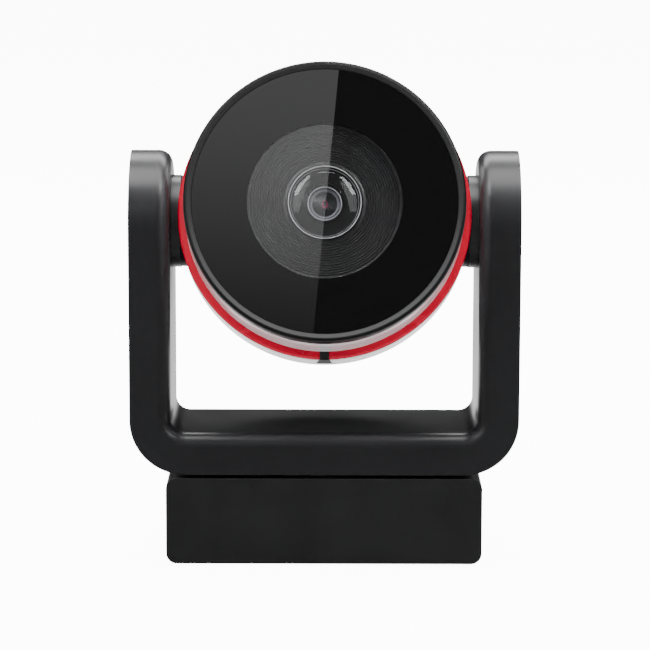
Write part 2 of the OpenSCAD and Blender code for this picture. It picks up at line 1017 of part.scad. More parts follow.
module head_rear_shell() {
    color("#232325")
        in_head()
            difference() {
                union() {
                    mirror([0, 0, 1])
                        rotate_extrude()
                            difference() {
                                intersection() {
                                    dome_profile(rear_r, rear_len, rear_corner);
                                    translate([0, 0.1])
                                        square([rear_r + 1, rear_len]);
                                }
                                translate([0, -1])
                                    intersection() {
                                        dome_profile(rear_r - rear_wall, rear_len - rear_wall + 1,
                                                     rear_corner - rear_wall);
                                        square([rear_r, rear_len]);
                                    }
                            }
                    side_bosses(-1);
                }
                trunnion_way();
                for (k = [-4:4])
                    span([-16, k * 4 - 0.9, -rear_len - 1], [16, k * 4 + 0.9, -rear_len + rear_wall + 1]);
                for (s = rear_screw_spots)
                    translate([s[0], s[1], -rear_len - 1]) {
                        cylinder(r = 2.2, h = 2.2);
                        cylinder(r = 1, h = 6);
                    }
            }
}

module head_screws() {
    color("#3a3a3c")
        in_head()
            for (s = rear_screw_spots)
                translate([s[0], s[1], -rear_len + 1.2])
                    mirror([0, 0, 1])
                        screw(1, 7, 2, 0.9);
}

// ---- head frame and tilt drive ----

module head_chassis() {
    color("#9b9da2")
        in_head()
            difference() {
                union() {
                    translate([0, 0, chassis_rear])
                        cylinder(r = shell_r - shell_t - 0.1, h = chassis_front - chassis_rear);
                    both_sides()
                        span([cheek_in, -14, 0], [cheek_out, 14, chassis_rear + eps]);
                    both_sides()
                        translate([cheek_in, 0, 0])
                            along_x()
                                cylinder(r = 14, h = cheek_out - cheek_in);
                    span([cheek_in, -8, -36], [cheek_out, 8, -10]);
                    for (s = rear_screw_spots)
                        translate([s[0], s[1], rear_wall - rear_len])
                            cylinder(r = post_r, h = rear_len - rear_wall + chassis_rear + eps);
                }
                translate([0, 0, chassis_rear - 1])
                    cylinder(r = body_r, h = 5);
                both_sides()
                    translate([cheek_in - 1, 0, 0])
                        along_x()
                            cylinder(r = bush_r, h = 6);
                for (s = rear_screw_spots)
                    translate([s[0], s[1], -rear_len])
                        cylinder(r = 1, h = 10);
            }
}

// A plain bearing bush in the cheek of the chassis.
module bush() {
    in_head()
        translate([cheek_in, 0, 0])
            along_x()
                tube(bush_r, neck_r + slide_clear, cheek_out - cheek_in);
}

module right_bush() {
    color("#c8a64a")
        bush();
}

module left_bush() {
    color("#c8a64a")
        mirror([1, 0, 0])
            bush();
}

module tilt_motor() {
    color("#b9bbc0")
        in_head()
            translate([tilt_motor_in, 0, -mesh_d])
                along_x()
                    difference() {
                        cylinder(r = tilt_motor_r, h = tilt_motor_out - tilt_motor_in);
                        translate([0, 0, 2])
                            cylinder(r = shaft_r + shaft_clear, h = 30);
                    }
}

module motor_bracket() {
    color("#9b9da2")
        in_head()
            difference() {
                union() {
                    span([tilt_motor_out, -8, -38], [tilt_motor_out + 1.5, 8, -14]);
                    span([tilt_motor_out, -8, -38], [cheek_out, 8, -36]);
                }
                translate([tilt_motor_out - 1, 0, -mesh_d])
                    along_x()
                        cylinder(r = 3, h = 4);
            }
}

module tilt_pinion() {
    color("#c9a94e")
        in_head()
            translate([0, 0, -mesh_d])
                along_x() {
                    translate([0, 0, tilt_gear_x])
                        rotate([0, 0, 180 / pinion_teeth])
                            spur_gear(gear_m, pinion_teeth, gear_w, shaft_r / 2);
                    translate([0, 0, tilt_motor_in + 3])
                        cylinder(r = shaft_r, h = tilt_gear_x + gear_w - tilt_motor_in - 3);
                }
}

// ---- lens ----

// The front lens sits in the wide bore, and a small raised cell behind it holds the next element.
module lens_barrel() {
    bore = front_lens_r + 0.05;
    color("#2e2e30")
        in_head()
            rotate_extrude()
                polygon([[body_r, chassis_rear + 2.6], [body_r, chassis_rear], [8, chassis_rear],
                         [cell_bore, barrel_front - 10], [cell_bore, cell_front - 1.6],
                         [cell_r - 0.5, cell_front - 1.6], [cell_r - 0.5, cell_front - 0.2],
                         [cell_r - 0.25, cell_front], [cell_r, cell_front - 0.3],
                         [cell_r, cell_front - 2], [cell_r + 1.2, cell_front - 2],
                         [cell_r + 1.2, cell_front - 0.6], [bore - 0.7, front_lens_seat - 0.5],
                         [bore - 0.7, front_lens_seat], [bore, front_lens_seat],
                         [bore, barrel_front - 1.1], [bore + 0.1, barrel_front - 0.9],
                         [bore + 0.25, barrel_front - 1.1], [bore + 0.4, barrel_front - 1.5],
                         [bore + 0.6, barrel_front - 1.5], [barrel_r - 0.4, barrel_front - 0.2],
                         [barrel_r - 0.25, barrel_front], [barrel_r, barrel_front - 0.25],
                         [barrel_r, chassis_rear + 2.6]]);
}

// A meniscus: a domed front and a flatter hollow back.
module front_lens() {
    color("#33343c", 0.6)
        in_head()
            difference() {
                intersection() {
                    translate([0, 0, front_lens_seat])
                        cylinder(r = front_lens_r, h = 6);
                    translate([0, 0, front_lens_apex - front_lens_curve])
                        sphere(r = front_lens_curve);
                }
                translate([0, 0, front_lens_apex - front_lens_t - front_lens_back_curve])
                    sphere(r = front_lens_back_curve);
            }
}

module lens_body() {
    color("#1d1d1f")
        in_head()
            difference() {
                translate([0, 0, body_rear])
                    cylinder(r = body_r, h = chassis_rear - body_rear);
                translate([0, 0, body_rear + 2])
                    cylinder(r = body_r - body_wall, h = 40);
                translate([0, 0, body_rear - 1])
                    cylinder(r = 6, h = 10);
                for (x = [-rod_spot, rod_spot])
                    translate([x, 0, body_rear - 1])
                        cylinder(r = screw_r + slide_clear, h = 10);
                for (y = [-rod_spot, rod_spot])
                    translate([0, y, body_rear - 1])
                        cylinder(r = rod_r, h = 10);
            }
}

module guide_rods() {
    color("#d8dade")
        in_head()
            for (y = [-rod_spot, rod_spot])
                translate([0, y, body_rear])
                    cylinder(r = rod_r, h = chassis_rear - body_rear);
}

// A lens cell that slides on both rods; its nut ear reaches the lead screw at side * rod_spot.
module carrier(p, side) {
    in_head()
        translate([0, 0, p])
            difference() {
                union() {
                    cylinder(r = carrier_r, h = carrier_t);
                    for (y = [-rod_spot, rod_spot])
                        translate([0, y, 0])
                            cylinder(r = 2.4, h = carrier_t);
                    translate([side * rod_spot, 0, 0])
                        cylinder(r = 2.4, h = carrier_t);
                }
                translate([0, 0, -1])
                    cylinder(r = 9, h = carrier_t + 2);
                for (y = [-rod_spot, rod_spot])
                    translate([0, y, -1])
                        cylinder(r = rod_r + slide_clear, h = carrier_t + 2);
                translate([side * rod_spot, 0, -1])
                    cylinder(r = screw_r + slide_clear, h = carrier_t + 2);
            }
}

// A plano-convex lens held in a carrier.
module cell_lens(p) {
    in_head()
        intersection() {
            translate([0, 0, p + 0.5])
                cylinder(r = 9, h = carrier_t - 1);
            translate([0, 0, p - 16.5])
                sphere(r = 20);
        }
}

module zoom_carrier() {
    color("#323235")
        carrier(zoom_p, 1);
}

module zoom_lens() {
    color("#aac4d8", 0.5)
        cell_lens(zoom_p);
}

module focus_carrier() {
    color("#323235")
        carrier(focus_p, -1);
}

module focus_lens() {
    color("#aac4d8", 0.5)
        cell_lens(focus_p);
}

// A lead screw at one side of the lens body; its thread is left plain.
module lead_screw(side) {
    in_head()
        translate([side * rod_spot, 0, body_rear - 3])
            cylinder(r = screw_r, h = chassis_rear - body_rear + 2);
}

module zoom_screw() {
    color("#d8dade")
        lead_screw(1);
}

module focus_screw() {
    color("#d8dade")
        lead_screw(-1);
}

module lens_motors() {
    color("#b9bbc0")
        in_head()
            for (x = [-rod_spot, rod_spot])
                translate([x, 0, body_rear - lens_motor_h])
                    difference() {
                        cylinder(r = 4, h = lens_motor_h);
                        translate([0, 0, 1])
                            cylinder(r = screw_r + slide_clear, h = lens_motor_h);
                    }
}

module sensor_board() {
    color("#1f5a36")
        in_head()
            span([-9.5, -16, body_rear - 1.6], [9.5, 16, body_rear]);
    color("#3b3f55")
        in_head()
            span([-4, -3.2, body_rear - eps], [4, 3.2, body_rear + 1.2]);
}

base_housing();
base_bottom_plate();
rubber_feet();
tripod_insert();
base_screws();
pan_bracket();
bracket_screws();
pan_motor();
pan_pinion();
bearing_outer_race();
bearing_balls();
base_board();
power_jack();
hdmi_port();
usb_port();
lan_port();
control_port();
yoke_frame();
yoke_bottom_plate();
yoke_screws();
pan_hub();
bearing_inner_race();
pan_gear();
left_arm_cover();
right_arm_cover();
cover_screws();
left_trunnion();
right_trunnion();
trunnion_screws();
tilt_gear();
wire_harness();
bezel_ring();
front_glass();
glass_mask();
lens_baffle();
chrome_band();
red_ring();
ring_clip();
silver_band();
head_front_shell();
head_rear_shell();
head_chassis();
left_bush();
right_bush();
tilt_motor();
motor_bracket();
tilt_pinion();
head_screws();
lens_barrel();
front_lens();
lens_body();
guide_rods();
zoom_carrier();
zoom_lens();
zoom_screw();
focus_carrier();
focus_lens();
focus_screw();
lens_motors();
sensor_board();
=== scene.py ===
# %% [markdown]
# # Dressing a pan-tilt-zoom camera
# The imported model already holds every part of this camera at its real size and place: the low base,
# the U-shaped yoke that turns on it, and the drum head that tilts between the yoke's arms. Blender's
# share is the looks. Each part gets the surface that it has on the real object, and the fine pieces
# that are pleasant to see and never carry load are built here and ride on the parts they belong to.
# Everything is in metres, with +Z up and the lens looking along -Y.

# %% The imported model
import json
import math
import bmesh
import bpy
from mathutils import Matrix, Vector


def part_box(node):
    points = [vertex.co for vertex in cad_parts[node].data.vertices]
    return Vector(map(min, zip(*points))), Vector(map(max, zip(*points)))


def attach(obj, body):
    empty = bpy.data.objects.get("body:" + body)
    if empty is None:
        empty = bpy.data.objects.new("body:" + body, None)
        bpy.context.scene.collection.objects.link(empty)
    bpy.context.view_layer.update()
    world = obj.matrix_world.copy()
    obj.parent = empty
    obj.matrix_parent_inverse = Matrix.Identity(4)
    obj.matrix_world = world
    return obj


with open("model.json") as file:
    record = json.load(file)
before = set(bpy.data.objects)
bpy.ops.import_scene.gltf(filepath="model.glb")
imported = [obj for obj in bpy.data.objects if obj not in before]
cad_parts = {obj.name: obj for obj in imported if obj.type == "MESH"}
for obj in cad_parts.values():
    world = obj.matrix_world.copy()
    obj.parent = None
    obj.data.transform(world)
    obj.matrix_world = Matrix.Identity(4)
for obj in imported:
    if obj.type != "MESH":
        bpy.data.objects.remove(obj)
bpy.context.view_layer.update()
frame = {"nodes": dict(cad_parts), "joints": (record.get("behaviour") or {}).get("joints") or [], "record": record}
nodes = frame["nodes"]
slot_of = {row["node"]: row["material_slot"] for row in frame["record"]["subparts"]}
MM = 0.001

# %% [markdown]
# ## Where the head points
# Rings, bands and grooves of the head are turned on one axis, so their finishes need that axis too.
# The zoom slide runs along it and the tilt joint crosses it, so both can be read from the model
# instead of being typed again. `head_place` carries a point from the head's own axes, with x to the
# side, y up the drum and z out of the lens, to the model's.

# %% The head's own axes
joint_named = {joint["name"]: joint for joint in frame["joints"]}
lens_axis = Vector(joint_named["zoom_slide"]["axis"]).normalized()
tilt_point = Vector(joint_named["tilt_turn"]["pos_m"])
side_axis = Vector((1, 0, 0))
up_axis = lens_axis.cross(side_axis)
head_place = Matrix((side_axis, up_axis, lens_axis)).transposed().to_4x4()
head_place.translation = tilt_point
rest_tilt = math.degrees(math.asin(lens_axis.z))
print(f"the lens looks up {rest_tilt:.1f} degrees from a point {tilt_point.z / MM:.1f} mm high")

# %% [markdown]
# ## Camera
# A product portrait is taken from far off with a long lens, which keeps the arms of the yoke nearly
# parallel. This one stands a little over a metre away and looks down about nine degrees. The aim is
# a little under the middle of the object, which leaves more room below it than above.

# %% Camera
def look_from(thing, place, target):
    thing.location = place
    thing.rotation_euler = (Vector(target) - Vector(place)).to_track_quat("-Z", "Y").to_euler()
    bpy.context.scene.collection.objects.link(thing)
    return thing


camera_distance = 1.15
camera_height = math.radians(9.4)
camera_roll = math.radians(0.15)
middle_z = 0.095
aim = Vector((0.0002, 0, 0.0867))
camera_place = Vector((0, -camera_distance * math.cos(camera_height),
                       middle_z + camera_distance * math.sin(camera_height)))
lens = bpy.data.cameras.new("portrait_lens")
lens.lens = 169.6
lens.clip_start = 0.05
lens.clip_end = 60
camera = look_from(bpy.data.objects.new("portrait_camera", lens), camera_place, aim)
camera.rotation_euler.rotate_axis("Z", camera_roll)
bpy.context.scene.camera = camera
print("camera at", [round(value, 3) for value in camera.location])

# %% [markdown]
# ## Table
# A black object is drawn by what it mirrors more than by its own colour, so the table that you see
# and the table that the object mirrors are kept apart. This plane is the one you see. It glows
# towards the eye alone, which keeps it evenly pale under any lamp, and it is hidden from
# reflections and from glass. The mirrored one belongs to the room in the next step.

# %% Table
def pale_table(brightness):
    """A diffuse table top that the eye sees evenly pale, whatever light falls on it."""
    material = bpy.data.materials.new("pale_table")
    material.use_nodes = True
    tree = material.node_tree
    shader = tree.nodes["Principled BSDF"]
    shader.inputs["Base Color"].default_value = (0.82, 0.82, 0.82, 1)
    shader.inputs["Roughness"].default_value = 0.8
    glow = tree.nodes.new("ShaderNodeEmission")
    glow.inputs["Strength"].default_value = brightness
    seen = tree.nodes.new("ShaderNodeLightPath")
    blend = tree.nodes.new("ShaderNodeMixShader")
    both = tree.nodes.new("ShaderNodeAddShader")
    tree.links.new(shader.outputs[0], both.inputs[0])
    tree.links.new(glow.outputs[0], both.inputs[1])
    tree.links.new(seen.outputs["Is Camera Ray"], blend.inputs[0])
    tree.links.new(shader.outputs[0], blend.inputs[1])
    tree.links.new(both.outputs[0], blend.inputs[2])
    tree.links.new(blend.outputs[0], tree.nodes["Material Output"].inputs["Surface"])
    return material


def make_table(size, brightness):
    mesh = bpy.data.meshes.new("table_top")
    half = size / 2
    mesh.from_pydata([(-half, -half, 0), (half, -half, 0), (half, half, 0), (-half, half, 0)],
                     [], [(0, 1, 2, 3)])
    mesh.materials.append(pale_table(brightness))
    table = bpy.data.objects.new("table_top", mesh)
    table.visible_glossy = False
    table.visible_transmission = False
    bpy.context.scene.collection.objects.link(table)


make_table(size=40, brightness=11)
print("table made")

# %% [markdown]
# ## Room
# The room is planned as a set of reflections and painted into the world shader. The bright part is
# the table behind the camera body: the inner walls of the arms and the plated bands catch it
# edge-on. Everything above the table and in front stays dim, so the faces turned to the viewer stay
# deep black. Rays that go straight to the eye find an even pale backdrop instead.

# %% Room
def ramp(tree, source, start, end, low, high):
    made = tree.nodes.new("ShaderNodeMapRange")
    made.interpolation_type = "SMOOTHSTEP"
    for socket, value in zip(("From Min", "From Max", "To Min", "To Max"), (start, end, low, high)):
        made.inputs[socket].default_value = value
    tree.links.new(source, made.inputs["Value"])
    return made.outputs["Result"]


def maths(tree, operation, first, second):
    made = tree.nodes.new("ShaderNodeMath")
    made.operation = operation
    tree.links.new(first, made.inputs[0])
    if isinstance(second, (int, float)):
        made.inputs[1].default_value = second
    else:
        tree.links.new(second, made.inputs[1])
    return made.outputs[0]


def make_room(behind, above, dim, seen):
    """Bright below the horizon behind the object, almost dark above it, and dim in front."""
    world = bpy.data.worlds.new("studio")
    world.use_nodes = True
    tree = world.node_tree
    background = tree.nodes["Background"]
    direction = tree.nodes.new("ShaderNodeTexCoord").outputs["Generated"]
    split = tree.nodes.new("ShaderNodeSeparateXYZ")
    tree.links.new(direction, split.inputs[0])
    rearward = ramp(tree, split.outputs["Y"], -0.35, 0.25, 0, 1)
    downward = ramp(tree, split.outputs["Z"], 0.0, -0.09, 0, 1)
    frontward = ramp(tree, split.outputs["Y"], -0.35, 0.25, dim, above)
    table_part = maths(tree, "MULTIPLY", maths(tree, "MULTIPLY", rearward, downward), behind)
    lit = maths(tree, "ADD", table_part, frontward)
    path = tree.nodes.new("ShaderNodeLightPath").outputs["Is Camera Ray"]
    to_eye = maths(tree, "MULTIPLY", path, seen)
    tree.links.new(maths(tree, "MAXIMUM", lit, to_eye), background.inputs["Strength"])
    background.inputs["Color"].default_value = (1, 1, 1, 1)
    bpy.context.scene.world = world


make_room(behind=2.4, above=0.04, dim=0.12, seen=12)
print("room made")

# %% [markdown]
# ## Lamps
# Soft boxes do the rest. One overhead and a pair to its left and right draw the highlights on the
# rounded tops of the arms, and the pair leave a dark gap between them for the lens to mirror. One
# behind skims the crossbar, and the head shades the middle of it. A wide card in front of the left
# half, with its edge just off the lens axis, is what the front glass mirrors, which splits the
# glass into a lighter and a darker half. Two tall boxes at the sides put the pair of crescents into
# the domed front lens. Area lamps are used because their size sets how soft a highlight is.

# %% Lamps
def soft_box(name, place, target, width, height, power):
    data = bpy.data.lights.new(name, "AREA")
    data.shape = "RECTANGLE"
    data.size = width
    data.size_y = height
    data.energy = power
    return look_from(bpy.data.objects.new(name, data), place, target)


def fade_downwards(lamp, lowest):
    """The lamp's light fades from its upper edge to this share of it at its lower edge."""
    lamp.data.use_nodes = True
    tree = lamp.data.node_tree
    place = tree.nodes.new("ShaderNodeNewGeometry").outputs["Parametric"]
    split = tree.nodes.new("ShaderNodeSeparateXYZ")
    tree.links.new(place, split.inputs[0])
    share = ramp(tree, split.outputs["Y"], 0, 1, lowest, 1)
    tree.links.new(share, tree.nodes["Emission"].inputs["Strength"])


glass_middle = head_place @ Vector((0, 0, 0.05))
to_camera = (camera_place - glass_middle).normalized()
mirrored = (2 * lens_axis.dot(to_camera) * lens_axis - to_camera).normalized()
card_distance = 1.5
card_width = 0.5
card_height = 0.3
card_turn = math.radians(-5.4)
card_place = glass_middle + mirrored * card_distance - side_axis * (card_width / 2)
card = soft_box("glass_card", card_place, card_place - mirrored, card_width, card_height, 0.72)
card.rotation_euler.rotate_axis("Z", card_turn)
fade_downwards(card, 0.08)
soft_box("overhead_box", (0, -0.12, 1.45), (0, 0, 0.1), 1.5, 0.9, 28)
soft_box("rear_box", (0, 1.0, 1.2), (0, 0, 0.06), 1.7, 0.5, 22)
for name, side in (("left", -1), ("right", 1)):
    soft_box(name + "_top_box", (0.95 * side, -0.6, 1.25), (0, 0, 0.1), 0.7, 0.85, 20)
    soft_box(name + "_box", (1.02 * side, -1.0, 0.95), glass_middle, 0.6, 1.3, 6)
print("card mirrored along", [round(value, 3) for value in mirrored])

# %% [markdown]
# ## A small kit for materials
# Every finish below is one Principled shader with a few nodes in front of it. Three things make a
# plain colour look like a real surface: roughness that drifts, a bump at the true size of the grain,
# and a tiny rounding on every edge, since no moulded or machined edge is perfectly sharp.
# Coordinates are the object's own, in metres, so a noise scale of 2500 gives grains of 0.4 mm.

# %% Material kit
class Finish:
    """A material with one Principled shader, and short ways to put detail in front of it."""

    def __init__(self, name, colour, roughness, metallic=0.0):
        self.material = bpy.data.materials.new(name)
        self.material.use_nodes = True
        self.material.diffuse_color = (*colour, 1)
        self.tree = self.material.node_tree
        self.shader = self.tree.nodes["Principled BSDF"]
        self.colour = colour
        self.bumped = None
        self.set("Base Color", (*colour, 1))
        self.set("Roughness", roughness)
        self.set("Metallic", metallic)

    def set(self, socket, value):
        self.shader.inputs[socket].default_value = value

    def node(self, kind, **settings):
        made = self.tree.nodes.new("ShaderNode" + kind)
        for name, value in settings.items():
            setattr(made, name, value)
        return made

    def link(self, source, target):
        self.tree.links.new(source, target)
        return target.node

    def places(self, stretch=(1, 1, 1), along_head=False):
        """Object coordinates, if wanted in the head's own axes, stretched for streaks."""
        source = self.node("TexCoord").outputs["Object"]
        if along_head:
            turned = self.node("Mapping", vector_type="TEXTURE")
            turned.inputs["Location"].default_value = head_place.translation
            turned.inputs["Rotation"].default_value = head_place.to_euler()
            self.link(source, turned.inputs["Vector"])
            source = turned.outputs["Vector"]
        if stretch == (1, 1, 1):
            return source
        scaled = self.node("Mapping")
        scaled.inputs["Scale"].default_value = stretch
        self.link(source, scaled.inputs["Vector"])
        return scaled.outputs["Vector"]

    def noise(self, scale, detail=2.0, where=None):
        made = self.node("TexNoise")
        made.inputs["Scale"].default_value = scale
        made.inputs["Detail"].default_value = detail
        self.link(where or self.places(), made.inputs["Vector"])
        return made.outputs["Fac"]

    def between(self, source, low, high, source_low=0.3, source_high=0.7):
        """The source, spread over another range of numbers."""
        made = self.node("MapRange")
        made.inputs["From Min"].default_value = source_low
        made.inputs["From Max"].default_value = source_high
        made.inputs["To Min"].default_value = low
        made.inputs["To Max"].default_value = high
        self.link(source, made.inputs["Value"])
        return made.outputs["Result"]

    def mix(self, share, first, second):
        """A colour between two, by a share from 0 to 1."""
        made = self.node("Mix", data_type="RGBA")
        self.link(share, made.inputs["Factor"])
        for socket, value in ((made.inputs["A"], first), (made.inputs["B"], second)):
            if isinstance(value, tuple):
                socket.default_value = (*value, 1)
            else:
                self.link(value, socket)
        return made.outputs["Result"]

    def drift(self, low, high, scale=60.0, detail=3.0, where=None):
        """Roughness that wanders between two values, as handling and moulding leave it."""
        spread = self.between(self.noise(scale, detail, where), low, high)
        self.link(spread, self.shader.inputs["Roughness"])
        return self

    def shade(self, darker, lighter, scale=40.0, detail=4.0, where=None):
        """Colour that wanders between two multiples of the finish's own."""
        ends = [tuple(min(1.0, value * by) for value in self.colour) for by in (darker, lighter)]
        share = self.between(self.noise(scale, detail, where), 0, 1)
        self.link(self.mix(share, *ends), self.shader.inputs["Base Color"])
        return self

    def round_edges(self, radius=0.25 * MM):
        """Edges that catch light as if they had this radius."""
        edge = self.node("Bevel", samples=4)
        edge.inputs["Radius"].default_value = radius
        return self.bump_from(None, 0, edge.outputs["Normal"])

    def bump_from(self, height, depth, normal=None):
        """Raises the surface by a height pattern of this depth, on top of what is there."""
        if height is None:
            self.bumped = normal
            self.link(normal, self.shader.inputs["Normal"])
            return self
        made = self.node("Bump")
        made.inputs["Distance"].default_value = depth
        made.inputs["Strength"].default_value = 1.0
        self.link(height, made.inputs["Height"])
        if self.bumped is not None:
            self.link(self.bumped, made.inputs["Normal"])
        self.bumped = made.outputs["Normal"]
        self.link(self.bumped, self.shader.inputs["Normal"])
        return self

    def grain(self, size, depth, detail=2.0, where=None):
        """Random grain, with grains of a size and a depth in metres."""
        return self.bump_from(self.noise(1 / size, detail, where), depth)


finishes = {}


def keep(finish, *slots):
    for name in slots:
        finishes[name] = finish.material
    return finish


print("material kit ready")

# %% [markdown]
# ## Moulded black plastic
# The base, the shells of the head and the caps over the trunnions are injection-moulded, with a
# fine spark-eroded texture that scatters light and hides the flow lines. It is a dark grey more than
# a black. The grain is a bump about 0.35 mm across and only a few microns deep, and roughness drifts
# slowly over the part.

# %% Moulded plastics
def moulded(name, colour, rough, grain_size=0.35 * MM, depth=6e-6):
    made = Finish(name, colour, rough)
    made.drift(rough - 0.05, rough + 0.05, scale=45).shade(0.85, 1.15, scale=70)
    return made.round_edges().grain(grain_size, depth)


keep(moulded("moulded_base", (0.0065, 0.0065, 0.0072), 0.5), "housing_black")
keep(moulded("moulded_shell", (0.0085, 0.0085, 0.0095), 0.45), "shell_black")
keep(moulded("moulded_trunnion", (0.030, 0.030, 0.032), 0.36), "trunnion_black")
keep(moulded("moulded_clip", (0.006, 0.006, 0.006), 0.4), "clip_black")
keep(moulded("moulded_port", (0.012, 0.012, 0.012), 0.42), "port_plastic")
print("moulded plastics:", len(finishes))

# %% [markdown]
# ## Satin paint on the yoke
# The yoke is a casting under satin black paint. Paint flows a little before it dries, which leaves
# the faint waviness called orange peel, a few millimetres across. A coat on the shader gives the
# thin, clearer gloss on top of the rougher body of the paint.

# %% Yoke paint
def yoke_paint():
    made = Finish("satin_paint", (0.0095, 0.0095, 0.011), 0.36)
    made.set("Coat Weight", 0.12)
    made.set("Coat Roughness", 0.22)
    made.drift(0.31, 0.40, scale=30).shade(0.9, 1.1, scale=25)
    return made.round_edges(0.3 * MM).grain(2.5 * MM, 4e-6).grain(0.3 * MM, 2.5e-6)


keep(yoke_paint(), "yoke_black")
print("yoke paint made")

# %% [markdown]
# ## Powder coat, rubber and ink
# The plates under the base and the yoke are sheet steel with a coarse black powder coat. The feet
# are soft rubber that has picked up some dust. The mask behind the glass is glossy printed ink.

# %% Powder coat, rubber and ink
powder = Finish("powder_coat", (0.014, 0.014, 0.015), 0.62)
powder.drift(0.55, 0.7, scale=90).round_edges().grain(0.9 * MM, 1.6e-5, detail=3.0)
keep(powder, "plate_black")

rubber = Finish("foot_rubber", (0.018, 0.018, 0.018), 0.85)
rubber.shade(0.7, 1.9, scale=300, detail=6.0)
rubber.round_edges(0.4 * MM).grain(0.5 * MM, 1.2e-5, detail=5.0)
keep(rubber, "foot_rubber")

ink = Finish("mask_ink", (0.0015, 0.0015, 0.0018), 0.6)
ink.set("Specular IOR Level", 0.05)
ink.drift(0.5, 0.7, scale=80).shade(0.8, 1.2, scale=90)
keep(ink, "mask_black")
print("powder, rubber and ink made")

# %% [markdown]
# ## Metals
# A metal has no colour but its reflection, so its base colour is that reflection and Metallic is 1.
# What tells one from another is the mark of how it was made: cast aluminium is pitted, rolled steel
# has long streaks, a turned part has fine rings, and a plated part is smooth with a few wipe marks.

# %% Metals
def metal(name, colour, rough, spread, grain_size, depth, stretch=(1, 1, 1)):
    made = Finish(name, colour, rough, metallic=1.0)
    where = made.places(stretch)
    made.drift(rough - spread, rough + spread, 1 / (8 * grain_size), 4.0, where)
    return made.round_edges(0.15 * MM).grain(grain_size, depth, 3.0, where)


keep(metal("turned_brass", (0.80, 0.58, 0.27), 0.24, 0.08, 0.3 * MM, 2e-6, (1, 1, 6)), "brass")
keep(metal("black_oxide", (0.06, 0.06, 0.065), 0.42, 0.08, 0.25 * MM, 3e-6), "screw_black")
keep(metal("zinc_plate", (0.66, 0.68, 0.72), 0.28, 0.07, 0.3 * MM, 2e-6), "screw_steel")
keep(metal("cast_aluminium", (0.62, 0.62, 0.63), 0.46, 0.08, 0.7 * MM, 2e-5), "cast_aluminium")
keep(metal("rolled_steel", (0.55, 0.56, 0.58), 0.3, 0.08, 0.5 * MM, 2e-6, (1, 1, 0.05)), "motor_steel")
keep(metal("bearing_steel", (0.72, 0.73, 0.75), 0.12, 0.05, 0.4 * MM, 6e-7), "bearing_steel")
keep(metal("nickel_shell", (0.68, 0.66, 0.62), 0.24, 0.06, 0.5 * MM, 1.5e-6, (1, 0.1, 1)), "port_metal")
print("finishes so far:", sorted(finishes))

# %% [markdown]
# ## Colour by distance from the lens axis
# On a turned part, lips and edges sit at fixed distances from the axis. A finish can work that
# distance out for itself, from coordinates turned into the head's own axes, and a colour ramp then
# gives each ring its grey. The stops are in millimetres, which lets a bright line of painted
# highlight sit on the very edge of the real shape, and a darker band of painted shade on a rounding.

# %% Colour by distance from the lens axis
def radius_of(made):
    """Distance from the lens axis, in metres."""
    split = made.node("SeparateXYZ")
    made.link(made.places(along_head=True), split.inputs[0])
    flat = made.node("CombineXYZ")
    made.link(split.outputs["X"], flat.inputs["X"])
    made.link(split.outputs["Y"], flat.inputs["Y"])
    length = made.node("VectorMath", operation="LENGTH")
    made.link(flat.outputs[0], length.inputs[0])
    return length.outputs["Value"]


def rings(made, reach, stops):
    """Base colour by radius: stops are (millimetres, grey) up to the reach in millimetres."""
    ramp_node = made.node("ValToRGB")
    made.link(made.between(radius_of(made), 0, 1, 0, reach * MM), ramp_node.inputs["Fac"])
    points = ramp_node.color_ramp.elements
    while len(points) < len(stops):
        points.new(0.5)
    for point, (radius, grey) in zip(points, stops):
        point.position = radius / reach
        point.color = (grey, grey, grey * 1.03, 1)
    made.link(ramp_node.outputs["Color"], made.shader.inputs["Base Color"])
    return made


print("rings ready")

# %% [markdown]
# ## Silver bands and red ring
# Three bands run round the drum behind the glass. The first and the last are metal under a thin
# pearl lacquer, so part of their light is scattered and they stay pale where a bare mirror would
# show the black crossbar. Both were turned on a lathe: a noise squeezed along the head's axis and
# left long across it gives fine lines that run round the drum, and a painted highlight, a near-white
# line, runs round the front lip of the first one. The red ring between them is a clear gloss red,
# with a slightly darker cast in its thinner spots.

# %% Bands of the drum
def pearl_metal(name, colour, metallic, rough):
    made = Finish(name, colour, rough, metallic)
    made.set("Coat Weight", 0.25)
    made.set("Coat Roughness", 0.1)
    turned = made.places((10, 10, 6000), along_head=True)
    made.drift(rough - 0.04, rough + 0.04, 1.0, 3.0, turned).shade(0.97, 1.02, 1.0, 2.0, turned)
    return made.grain(1.0, 4e-7, 2.0, turned)


plated = pearl_metal("plated_band", (0.66, 0.64, 0.68), 0.25, 0.25)
# The first stops paint a highlight, a near-white line, round the front lip of the first band.
keep(rings(plated, 52, [(0, 0.95), (50.4, 0.95), (50.46, 0.63), (51.2, 0.63)]), "chrome")
keep(pearl_metal("silver_band", (0.88, 0.88, 0.89), 0.3, 0.28), "silver_satin")

red = Finish("gloss_red", (0.43, 0.0, 0.018), 0.26)
red.set("Specular IOR Level", 0.35)
red.set("Coat Weight", 0.12)
red.set("Coat Roughness", 0.08)
red.shade(0.9, 1.05, scale=160, detail=3.0).drift(0.2, 0.3, scale=90).grain(0.8 * MM, 1e-6)
keep(red, "ring_red")
print("bands made")
